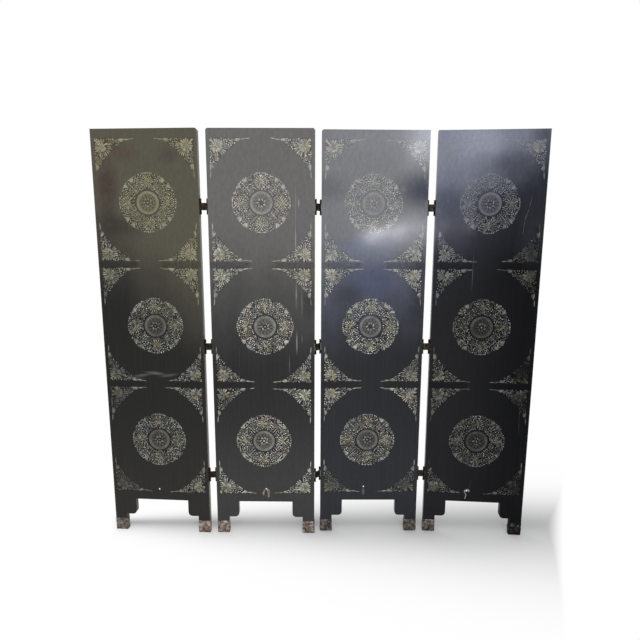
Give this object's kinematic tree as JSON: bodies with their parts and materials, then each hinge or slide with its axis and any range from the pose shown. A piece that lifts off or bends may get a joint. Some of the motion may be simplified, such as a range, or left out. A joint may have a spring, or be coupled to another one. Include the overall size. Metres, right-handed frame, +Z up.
{
  "type": "folding screen",
  "caption": "Tall folding screen of black lacquered panels with pale inlaid medallions and corner sprays, on brass-shod bracket feet, joined by double-acting hinges.",
  "frame": {"origin": "middle of the overall box, on the floor", "axes": "+X along the screen to the right as seen from the front, +Y to the back, +Z up"},
  "size_m": [1.9276, 0.0612, 1.8288],
  "materials": {
    "black_lacquer": "worn black lacquer on wood",
    "bare_softwood": "bare sawn softwood",
    "pearl_inlay": "worn mother-of-pearl and gilt inlay",
    "worn_brass_shoes": "tarnished, dented sheet brass",
    "brass_nails": "bright brass",
    "dark_brass_hinges": "dark tarnished brass",
    "brass_screws": "brass",
    "hinge_pins": "rubbed brass"
  },
  "bodies": {
    "panel_1": {"panel_1_left_stile": "black_lacquer", "panel_1_right_stile": "black_lacquer", "panel_1_rails": "black_lacquer", "panel_1_core_boards": "bare_softwood", "panel_1_apron": "black_lacquer", "panel_1_front_board": "black_lacquer", "panel_1_back_board": "black_lacquer", "panel_1_medallions": "pearl_inlay", "panel_1_corner_inlays": "pearl_inlay", "panel_1_shoes": "worn_brass_shoes", "panel_1_nails": "brass_nails", "panel_1_right_hinge_leaves": "dark_brass_hinges", "panel_1_hinge_screws": "brass_screws"},
    "link_12": {"link_12_links": "dark_brass_hinges", "link_12_pins": "hinge_pins"},
    "panel_2": {"panel_2_left_stile": "black_lacquer", "panel_2_right_stile": "black_lacquer", "panel_2_rails": "black_lacquer", "panel_2_core_boards": "bare_softwood", "panel_2_apron": "black_lacquer", "panel_2_front_board": "black_lacquer", "panel_2_back_board": "black_lacquer", "panel_2_medallions": "pearl_inlay", "panel_2_corner_inlays": "pearl_inlay", "panel_2_shoes": "worn_brass_shoes", "panel_2_nails": "brass_nails", "panel_2_left_hinge_leaves": "dark_brass_hinges", "panel_2_right_hinge_leaves": "dark_brass_hinges", "panel_2_hinge_screws": "brass_screws"},
    "link_23": {"link_23_links": "dark_brass_hinges", "link_23_pins": "hinge_pins"},
    "panel_3": {"panel_3_left_stile": "black_lacquer", "panel_3_right_stile": "black_lacquer", "panel_3_rails": "black_lacquer", "panel_3_core_boards": "bare_softwood", "panel_3_apron": "black_lacquer", "panel_3_front_board": "black_lacquer", "panel_3_back_board": "black_lacquer", "panel_3_medallions": "pearl_inlay", "panel_3_corner_inlays": "pearl_inlay", "panel_3_shoes": "worn_brass_shoes", "panel_3_nails": "brass_nails", "panel_3_left_hinge_leaves": "dark_brass_hinges", "panel_3_right_hinge_leaves": "dark_brass_hinges", "panel_3_hinge_screws": "brass_screws"},
    "link_34": {"link_34_links": "dark_brass_hinges", "link_34_pins": "hinge_pins"},
    "panel_4": {"panel_4_left_stile": "black_lacquer", "panel_4_right_stile": "black_lacquer", "panel_4_rails": "black_lacquer", "panel_4_core_boards": "bare_softwood", "panel_4_apron": "black_lacquer", "panel_4_front_board": "black_lacquer", "panel_4_back_board": "black_lacquer", "panel_4_medallions": "pearl_inlay", "panel_4_corner_inlays": "pearl_inlay", "panel_4_shoes": "worn_brass_shoes", "panel_4_nails": "brass_nails", "panel_4_left_hinge_leaves": "dark_brass_hinges", "panel_4_hinge_screws": "brass_screws"}
  },
  "joints": [
    {"name": "hinge_12_left_pins", "type": "hinge", "parent": "link_12", "child": "panel_1", "pos_m": [-0.50169, -0.0083, 0.9], "axis": [0, 0, -1], "range_deg": [-99.3, 80.7]},
    {"name": "hinge_12_right_pins", "type": "hinge", "parent": "panel_2", "child": "link_12", "pos_m": [-0.47484, -0.00548, 0.9], "axis": [0, 0, -1], "range_deg": [-83.5, 96.5]},
    {"name": "hinge_23_left_pins", "type": "hinge", "parent": "link_23", "child": "panel_2", "pos_m": [-0.00965, -0.00954, 0.9], "axis": [0, 0, 1], "range_deg": [-45.5, 134.5]},
    {"name": "hinge_23_right_pins", "type": "hinge", "parent": "link_23", "child": "panel_3", "pos_m": [0.00977, 0.00921, 0.9], "axis": [0, 0, -1], "range_deg": [-133.4, 46.6]},
    {"name": "hinge_34_left_pins", "type": "hinge", "parent": "panel_3", "child": "link_34", "pos_m": [0.47494, 0.01408, 0.9], "axis": [0, 0, 1], "range_deg": [-90.4, 89.6]},
    {"name": "hinge_34_right_pins", "type": "hinge", "parent": "link_34", "child": "panel_4", "pos_m": [0.50194, 0.01456, 0.9], "axis": [0, 0, 1], "range_deg": [-84.9, 95.1]}
  ]
}
